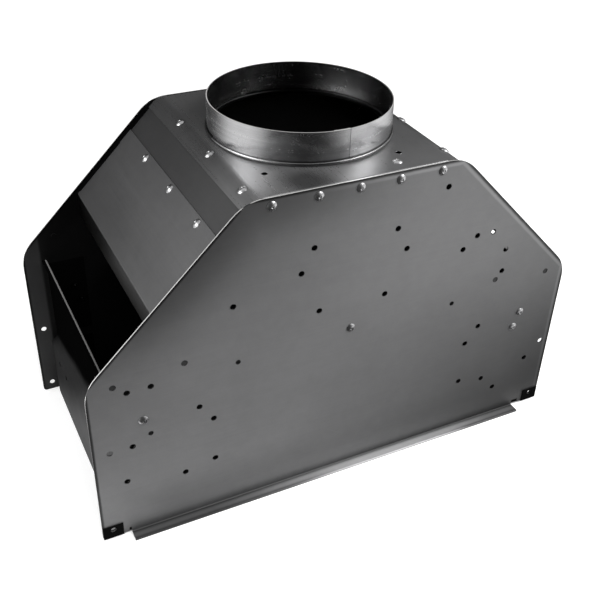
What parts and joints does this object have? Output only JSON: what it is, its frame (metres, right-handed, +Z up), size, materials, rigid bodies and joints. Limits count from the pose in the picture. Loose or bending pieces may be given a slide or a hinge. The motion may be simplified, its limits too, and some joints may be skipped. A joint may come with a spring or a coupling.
{
  "type": "draft diverter",
  "caption": "Sheet-metal draft diverter: open box with chamfered gable panels, sloped roof, relief openings at both ends and a round flue collar on top.",
  "frame": {"origin": "on the floor plane, under the middle of the flue collar", "axes": "+X along the two gable panels, +Y from the front panel to the back panel, +Z up along the collar"},
  "size_m": [0.445, 0.23, 0.3175],
  "materials": {
    "panel_steel": "coated sheet steel, satin",
    "roof_steel": "coated sheet steel, satin",
    "collar_steel": "bright rolled sheet steel",
    "end_steel": "coated sheet steel, dark",
    "rivet_steel": "plated rivet",
    "clip_steel": "black phosphated spring steel"
  },
  "bodies": {
    "root": {"front_panel": "panel_steel", "back_panel": "panel_steel", "top_plate": "roof_steel", "flue_collar": "collar_steel", "left_shoulder": "roof_steel", "right_shoulder": "roof_steel", "left_slope_sheet": "roof_steel", "right_slope_sheet": "roof_steel", "left_end_wall": "end_steel", "right_end_wall": "end_steel", "deflector": "end_steel", "front_top_rivets": "rivet_steel", "back_top_rivets": "rivet_steel", "front_wall_rivets": "rivet_steel", "back_wall_rivets": "rivet_steel", "front_deflector_rivet": "rivet_steel", "back_deflector_rivet": "rivet_steel", "left_shoulder_rivets": "rivet_steel", "right_shoulder_rivets": "rivet_steel", "left_seam_rivets": "rivet_steel", "right_seam_rivets": "rivet_steel", "collar_rivet": "rivet_steel", "plate_rivet": "rivet_steel", "clip_nuts": "clip_steel"}
  },
  "joints": []
}
